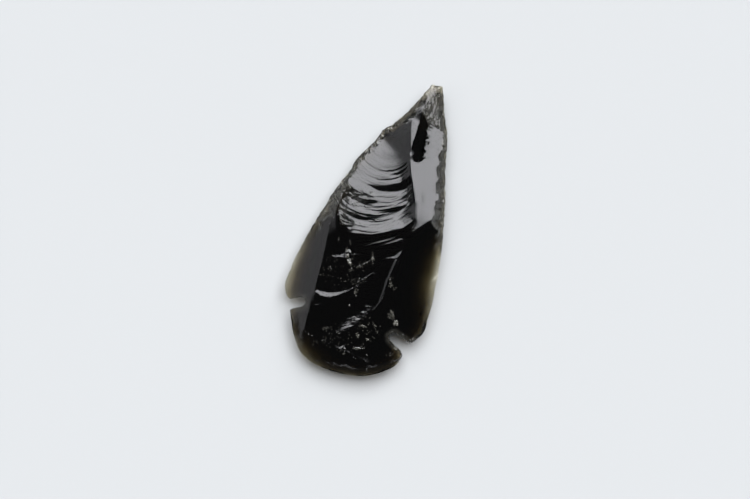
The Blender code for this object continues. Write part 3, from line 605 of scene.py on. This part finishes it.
def back_height(pts, at):
    d, edge, _, slope, grain, arc = at
    z = np.zeros(len(pts))
    for k, (p, q, rise, hollow) in enumerate(BACK):
        p, q = np.array(p, float), np.array(q, float)
        along = (q - p) / np.linalg.norm(q - p)
        out = np.array([along[1], -along[0]])
        if out @ (p - MIDDLE) < 0:
            out = -out
        mid = (p + q) / 2
        w = ((pts - mid) @ along) / (0.5 * np.linalg.norm(q - p))
        t = ((pts - mid) @ out) / SHEET
        src = mid + out * 11.5 * SHEET
        rad = np.linalg.norm(pts - src, axis=1) / SHEET
        wave = 0.035 * np.sin(2 * np.pi * (rad / 2.1) ** 0.92 + k) * smooth01(rad / 3) * smooth01((t + 0.5) / 2)
        z = np.maximum(z, rise * t + hollow * (1 - w ** 2) * 0.6 + wave)
    for cx, cy, ru, rv, deg, top in THIN:
        a = math.radians(deg)
        dx, dy = pts[:, 0] - cx, pts[:, 1] - cy
        u = (dx * math.cos(a) + dy * math.sin(a)) / ru
        v = (-dx * math.sin(a) + dy * math.cos(a)) / rv
        z = np.maximum(z, top - (u * u + v * v))
    chip = retouch(arc, d, slope, CHIP_BACK, grain)
    for cells in NIBBLE_BACK:
        chip = np.minimum(chip, nibbled(arc, d, slope, cells, grain))
    x, y = pts[:, 0], pts[:, 1]
    rough = grain * smooth01(1.2 - d / 1.6) * smooth01(d / 0.3)
    chip = chip + rough * (0.05 * vnoise(x / 2.6, y / 2.6, 51) + 0.035 * vnoise(x / 1.2, y / 1.2, 52))
    return np.minimum(np.maximum(z, edge - chip), edge - LEAST_BACK * d)


CHIP_FRONT = chips(7, 1.0, 3.2)
CHIP_BACK = chips(19, 1.2, 3.6)
NIBBLE_FRONT = (nibbles(23, 0.7, 1.7, (0.7, 1.7)), nibbles(24, 0.35, 0.9, (0.25, 0.8)))
NIBBLE_BACK = (nibbles(25, 0.8, 1.9, (0.6, 1.4)), nibbles(26, 0.4, 1.0, (0.25, 0.7)))


# ------------------------------------------------------------------ mesh
def detail_mask(pts, front):
    """True where the surface needs the fine grid."""
    gap = np.array([tree.find((x, y, 0.0))[2] for x, y in pts]) / SHEET
    m = gap < (2.3 if front else 1.5)
    if front:
        loop = dict((s[0], s[1]) for s in SCAR)["ripples"]
        m |= inside(np.array([NODE[n][:2] for n in loop.split()], float), pts)
        m |= blob(pts, 421, 140, 17, 28, 15) > 0
        m |= blob(pts, 341, 214, 18, 24, 25) > 0
        m |= blob(pts, *FEATHERS) > 0
        for line, _, _ in STEPS:
            lo, hi = np.min(line, 0)[:2] - 12, np.max(line, 0)[:2] + 12
            near = ((pts > lo) & (pts < hi)).all(1) & ~m
            if near.any():
                c, _ = curve([p[:2] for p in line], False, 2.0)
                m[near] |= to_segments(c[:-1], c[1:], pts[near])[0] < max(p[2] for p in line) + 1.5
        for cx, cy, rx, ry, deg, _, _, crush in CRUMBS:
            if crush > 0.12:
                m |= blob(pts, cx, cy, rx + 1.2, ry + 1.2, deg) > 0.3
    return m


def face_points(front):
    fine, plain = (0.155, 0.31) if front else (0.27, 0.42)
    lo, hi = rim1.min(0), rim1.max(0)
    sets = []
    for step, want in ((plain, False), (fine, True)):
        g = hex_grid(lo, hi, step * SHEET)
        g = g[inside(rim1, g)]
        g = g[detail_mask(g, front) == want]
        gap = np.array([tree.find((x, y, 0.0))[2] for x, y in g]) / SHEET
        sets.append(g[gap > 0.13])
    return np.vstack(sets)


def relax(z, tris, weight, rounds):
    """Move each height toward the mean of its neighbours, as far as its weight allows."""
    a = np.concatenate([tris[:, 0], tris[:, 1], tris[:, 2], tris[:, 1], tris[:, 2], tris[:, 0]])
    b = np.concatenate([tris[:, 1], tris[:, 2], tris[:, 0], tris[:, 0], tris[:, 1], tris[:, 2]])
    on = weight[a] > 0
    a, b = a[on], b[on]
    count = np.maximum(np.bincount(a, minlength=len(z)), 1)
    for _ in range(rounds):
        mean = np.bincount(a, z[b], minlength=len(z)) / count
        z = np.where(weight > 0, z + weight * (mean - z), z)
    return z


def ridge_lines():
    out, seen = [], set()
    for _, loop, _ in SCAR:
        names = loop.split()
        for a, b in zip(names, names[1:] + names[:1]):
            if frozenset((a, b)) not in seen and not (a[0] == "o" and b[0] == "o"):
                seen.add(frozenset((a, b)))
                out.append((np.array(NODE[a][:2], float), np.array(NODE[b][:2], float)))
    return out


def triangulate(front):
    n = len(rim1)
    sides = [(i, (i + 1) % n) for i in range(n)]
    pts = [rim1]
    count = n
    if front:
        ridge_pts = []
        for a, b in ridge_lines():
            k = max(1, int(round(np.linalg.norm(b - a) / SHEET / 0.24)))
            on = np.array([a + (b - a) * j / k for j in range(k + 1)])
            gap = np.array([tree.find((x, y, 0.0))[2] for x, y in on]) / SHEET
            ok = inside(rim1, on) & (gap > 0.5)
            sides += [(count + j, count + j + 1) for j in range(k) if ok[j] and ok[j + 1]]
            on[~ok] = rim1[0]
            pts.append(on)
            ridge_pts.append(on[ok])
            count += k + 1
        near = kdtree.KDTree(sum(len(r) for r in ridge_pts))
        i = 0
        for r in ridge_pts:
            for p in r:
                near.insert((p[0], p[1], 0.0), i)
                i += 1
        near.balance()
    grid = face_points(front)
    if front:
        gap = np.array([near.find((x, y, 0.0))[2] for x, y in grid]) / SHEET
        grid = grid[gap > 0.10]
    pts.append(grid)
    allp = np.vstack(pts)
    co, _, tris, _, _, _ = delaunay_2d_cdt([Vector(p) for p in allp], sides, [], 0, 1e-6)
    co = np.array([tuple(c) for c in co])
    tris = np.array([tuple(t) for t in tris])
    tris = tris[inside(rim1, co[tris].mean(1))]
    return co, tris


verts, faces, shade = [], [], {"grain": [], "crumb": [], "streak": []}
n = len(rim1)
base = 0
for front in (True, False):
    co, tris = triangulate(front)
    assert np.allclose(co[:n], rim1, atol=1e-3)
    at = rim_at(co)
    d, edge, grain = at[0], at[1], at[4]
    if front:
        z, which, cut, crumb = front_height(co, at)
        line = np.array([NODE[k][:2] for k in ("cd0", "cd1", "d0")])
        soft = to_segments(line[:-1], line[1:], co)[0]
        other = np.array([NODE[k][:2] for k in ("pe", "p", "q", "g1", "g3", "d0", "f0", "d1")])
        keep_off = to_segments(other[:-1], other[1:], co)[0]
        z = relax(z, tris, 0.9 * smooth01(1.25 - soft / 8.0) * smooth01(keep_off / 4.0), 45)
    else:
        z, which, cut, crumb = back_height(co, at), np.full(len(co), -1), d < 0, np.zeros(len(co))
    z[:n] = edge[:n]
    xy = to_part(co) - SHIFT
    g = grain * smooth01(1.35 - d / 1.15)
    if front:
        g = np.maximum(g, grain * cut * 0.9)
        wedge = (which == SCAR_NAME.index("left")) * smooth01((222 - co[:, 1]) / 18)
        g = np.maximum(g, 0.75 * wedge)
        tip = (which == SCAR_NAME.index("tip_right")) + (which == SCAR_NAME.index("tip_left")) * smooth01((106 - co[:, 1]) / 8)
        g = np.maximum(g, 0.8 * tip)
    streak = np.zeros(len(co))
    if front:
        streak = np.maximum(streak, blob(co, 414, 306, 20, 30, 0))
    keep = np.arange(len(co)) >= n if not front else np.ones(len(co), bool)
    index = np.where(keep, base + np.cumsum(keep) - 1, np.arange(len(co)))
    part = np.column_stack([xy[keep] / 1000, z[keep] / 1000])
    verts.append(part)
    shade["grain"].append(g[keep])
    shade["crumb"].append(crumb[keep])
    shade["streak"].append(streak[keep])
    a, b, c = xy[tris[:, 0]], xy[tris[:, 1]], xy[tris[:, 2]]
    turn = (b[:, 0] - a[:, 0]) * (c[:, 1] - a[:, 1]) - (b[:, 1] - a[:, 1]) * (c[:, 0] - a[:, 0])
    flip = (turn > 0) != front
    tris = np.where(flip[:, None], tris[:, ::-1], tris)
    faces.append(index[tris])
    base += keep.sum()

verts = np.vstack(verts)
faces = np.vstack(faces)
used = np.zeros(len(verts), bool)
used[faces.ravel()] = True
renum = np.cumsum(used) - 1
verts, faces = verts[used], renum[faces]

mesh = bpy.data.meshes.new("arrowhead_skin")
mesh.vertices.add(len(verts))
mesh.vertices.foreach_set("co", verts.ravel())
mesh.loops.add(len(faces) * 3)
mesh.loops.foreach_set("vertex_index", faces.ravel().astype(np.int32))
mesh.polygons.add(len(faces))
mesh.polygons.foreach_set("loop_start", np.arange(len(faces), dtype=np.int32) * 3)
mesh.polygons.foreach_set("loop_total", np.full(len(faces), 3, np.int32))
mesh.update(calc_edges=True)
mesh.validate()
mesh.shade_smooth()
mesh.set_sharp_from_angle(angle=math.radians(22))
for name, parts in shade.items():
    layer = mesh.attributes.new(name, "FLOAT", "POINT")
    layer.data.foreach_set("value", np.concatenate(parts)[used].astype(np.float32))
skin = bpy.data.objects.new("arrowhead_skin", mesh)
bpy.context.scene.collection.objects.link(skin)
print("triangles", len(faces), "z", verts[:, 2].min(), verts[:, 2].max())


# ------------------------------------------------------------------ materials
def node(nt, kind, at=(0, 0), **sets):
    nd = nt.nodes.new(kind)
    nd.location = at
    for k, v in sets.items():
        setattr(nd, k, v)
    return nd


def math_node(nt, op, a, b=None, c=None, clamp=False):
    nd = nt.nodes.new("ShaderNodeMath")
    nd.operation = op
    nd.use_clamp = clamp
    for i, v in enumerate((a, b, c)):
        if v is None:
            continue
        if isinstance(v, (int, float)):
            nd.inputs[i].default_value = v
        else:
            nt.links.new(v, nd.inputs[i])
    return nd.outputs[0]


def obsidian():
    mat = bpy.data.materials.new("obsidian_glass")
    mat.use_nodes = True
    nt = mat.node_tree
    nt.nodes.clear()
    out = node(nt, "ShaderNodeOutputMaterial", (900, 0))
    bsdf = node(nt, "ShaderNodeBsdfPrincipled", (500, 0))
    nt.links.new(bsdf.outputs[0], out.inputs["Surface"])
    vol = node(nt, "ShaderNodeVolumeAbsorption", (500, -500))
    vol.inputs["Color"].default_value = (0.31, 0.22, 0.0, 1.0)
    vol.inputs["Density"].default_value = 1800.0
    nt.links.new(vol.outputs[0], out.inputs["Volume"])
    bsdf.inputs["IOR"].default_value = 1.5
    bsdf.inputs["Specular IOR Level"].default_value = 0.5
    bsdf.inputs["Metallic"].default_value = 0.0

    def attr(name):
        a = node(nt, "ShaderNodeAttribute")
        a.attribute_name = name
        return a.outputs["Fac"]

    grain, crumb, streak = attr("grain"), attr("crumb"), attr("streak")
    tex = node(nt, "ShaderNodeTexCoord")
    pos = tex.outputs["Object"]

    def noise(scale, detail=3.0, rough=0.55, vec=pos):
        nz = node(nt, "ShaderNodeTexNoise")
        nz.inputs["Scale"].default_value = scale
        nz.inputs["Detail"].default_value = detail
        nz.inputs["Roughness"].default_value = rough
        nt.links.new(vec, nz.inputs["Vector"])
        return nz.outputs["Fac"]

    long = node(nt, "ShaderNodeMapping", vector_type="TEXTURE")
    long.inputs["Rotation"].default_value = (0, 0, math.radians(AXIS_TILT))
    long.inputs["Scale"].default_value = (1.0, 2.2, 1.0)
    nt.links.new(pos, long.inputs["Vector"])
    speckle = noise(5200, 2.0)
    fine = noise(3800, 1.0, 0.5, long.outputs[0])
    mid = noise(1500, 1.5, 0.5, long.outputs[0])
    broad = noise(260, 2.0)

    # crushed grain comes and goes along the edge
    patch = math_node(nt, "MULTIPLY_ADD", mid, 2.2, -0.65, clamp=True)
    g = math_node(nt, "MULTIPLY", grain, math_node(nt, "MULTIPLY_ADD", patch, 0.7, 0.3), clamp=True)

    # crumbs are crushed only in specks
    speck = math_node(nt, "MULTIPLY", crumb, math_node(nt, "MULTIPLY_ADD", speckle, 7.0, -3.1, clamp=True))

    # roughness
    r = math_node(nt, "MULTIPLY_ADD", broad, 0.02, 0.006)
    r = math_node(nt, "MULTIPLY_ADD", g, 0.05, r)
    r = math_node(nt, "MULTIPLY_ADD", speck, 0.18, r, clamp=True)
    nt.links.new(r, bsdf.inputs["Roughness"])

    # what is crushed scatters light, the rest is clear glass
    clear = math_node(nt, "MULTIPLY_ADD", g, -0.05, 1.0)
    clear = math_node(nt, "MULTIPLY_ADD", speck, -0.60, clear, clamp=True)
    nt.links.new(clear, bsdf.inputs["Transmission Weight"])

    mix = node(nt, "ShaderNodeMix", data_type="RGBA")
    nt.links.new(speck, mix.inputs["Factor"])
    mix.inputs["A"].default_value = (0.86, 0.84, 0.70, 1.0)
    mix.inputs["B"].default_value = (0.42, 0.43, 0.40, 1.0)
    nt.links.new(mix.outputs["Result"], bsdf.inputs["Base Color"])

    # relief: crushed edge, crumbs, fine streaks
    h = math_node(nt, "MULTIPLY", g, math_node(nt, "ADD", math_node(nt, "MULTIPLY", mid, 1.5), math_node(nt, "MULTIPLY", fine, 0.7)))
    h = math_node(nt, "MULTIPLY_ADD", math_node(nt, "MULTIPLY", crumb, speckle), 0.5, h)
    stretch = node(nt, "ShaderNodeMapping")
    stretch.inputs["Rotation"].default_value = (0, 0, math.radians(AXIS_TILT))
    stretch.inputs["Scale"].default_value = (0.12, 1.0, 1.0)
    nt.links.new(pos, stretch.inputs["Vector"])
    lines = noise(2600, 2.0, 0.5, stretch.outputs[0])
    h = math_node(nt, "MULTIPLY_ADD", math_node(nt, "MULTIPLY", streak, lines), 0.10, h)
    bump = node(nt, "ShaderNodeBump", (250, -300))
    bump.inputs["Strength"].default_value = 1.0
    bump.inputs["Distance"].default_value = 0.00012
    nt.links.new(h, bump.inputs["Height"])
    nt.links.new(bump.outputs[0], bsdf.inputs["Normal"])
    return mat


skin.data.materials.append(obsidian())
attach(skin, "root")
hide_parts("arrowhead")

# ------------------------------------------------------------------ floor
fm = bpy.data.meshes.new("floor")
s = 3.0
fm.from_pydata([(-s, -s, 0), (s, -s, 0), (s, s, 0), (-s, s, 0)], [], [(0, 1, 2, 3)])
floor = bpy.data.objects.new("floor", fm)
floor.location.z = -0.0002
bpy.context.scene.collection.objects.link(floor)
pale = bpy.data.materials.new("pale_floor")
pale.use_nodes = True
pb = pale.node_tree.nodes["Principled BSDF"]
pb.inputs["Base Color"].default_value = (0.445, 0.457, 0.454, 1.0)
pb.inputs["Roughness"].default_value = 1.0
pb.inputs["Specular IOR Level"].default_value = 0.0
fm.materials.append(pale)

# ------------------------------------------------------------------ light: a soft studio built into the world
lean = math.radians(AXIS_TILT)
RIGHT = (math.cos(lean), math.sin(lean), 0.0)      # the picture's right and up, in part axes
UP = (-math.sin(lean), math.cos(lean), 0.0)

world = bpy.data.worlds.new("studio")
bpy.context.scene.world = world
world.use_nodes = True
wt = world.node_tree
wt.nodes.clear()
wout = node(wt, "ShaderNodeOutputWorld")
wbg = node(wt, "ShaderNodeBackground")
wt.links.new(wbg.outputs[0], wout.inputs[0])
wtc = node(wt, "ShaderNodeTexCoord")


def along(axis):
    d = node(wt, "ShaderNodeVectorMath", operation="DOT_PRODUCT")
    wt.links.new(wtc.outputs["Generated"], d.inputs[0])
    d.inputs[1].default_value = axis
    return d.outputs["Value"]


def rise(v, lo, hi):
    m = node(wt, "ShaderNodeMapRange", interpolation_type="SMOOTHSTEP")
    wt.links.new(v, m.inputs["Value"])
    m.inputs["From Min"].default_value = lo
    m.inputs["From Max"].default_value = hi
    return m.outputs["Result"]


def fallof(v, lo, hi):
    return math_node(wt, "SUBTRACT", 1.0, rise(v, lo, hi))


def product(*v):
    out = v[0]
    for w in v[1:]:
        out = math_node(wt, "MULTIPLY", out, w)
    return out


dx, dy, dz = along(RIGHT), along(UP), along((0, 0, 1))
above = rise(dz, 0.26, 0.30)
lower = math_node(wt, "MULTIPLY_ADD", dx, 0.25, dy)       # the window's lower border leans, and fades softly
key = product(rise(dx, -0.54, -0.25), fallof(dx, 0.54, 0.68), rise(lower, 0.02, 0.30), fallof(dy, 0.78, 0.88), above)
fill = product(rise(dx, -0.92, -0.88), fallof(dx, -0.50, -0.40), rise(dy, -0.50, -0.40), fallof(dy, 0.40, 0.60), above)
ring = math_node(wt, "SUBTRACT", 1.0, rise(dz, 0.10, 0.16))
level = math_node(wt, "MULTIPLY_ADD", key, 7.35, 0.08)
level = math_node(wt, "MULTIPLY_ADD", fill, 0.92, level)
level = math_node(wt, "MULTIPLY_ADD", ring, 0.70, level)
wt.links.new(level, wbg.inputs["Strength"])
wbg.inputs["Color"].default_value = (0.985, 0.99, 1.03, 1.0)

# ------------------------------------------------------------------ camera
scene = bpy.context.scene
cam_data = bpy.data.cameras.new("camera")
cam_data.lens = 85.0
cam_data.sensor_width = 36.0
cam_data.clip_end = 20.0
cam = bpy.data.objects.new("camera", cam_data)
scene.collection.objects.link(cam)
centre = (to_part(np.array([[375.0, 249.5]]))[0] - SHIFT) / 1000
height = 750 / SHEET * 85.0 / 36.0 / 1000 + 0.0045
rot = Matrix((RIGHT, UP, (0.0, 0.0, 1.0))).transposed()
cam.matrix_world = Matrix.Translation((centre[0], centre[1], height)) @ rot.to_4x4()
scene.camera = cam
scene.view_settings.view_transform = "Standard"
scene.view_settings.look = "None"
scene.view_settings.exposure = 0.0
scene.view_settings.gamma = 1.0

bpy.context.view_layer.update()
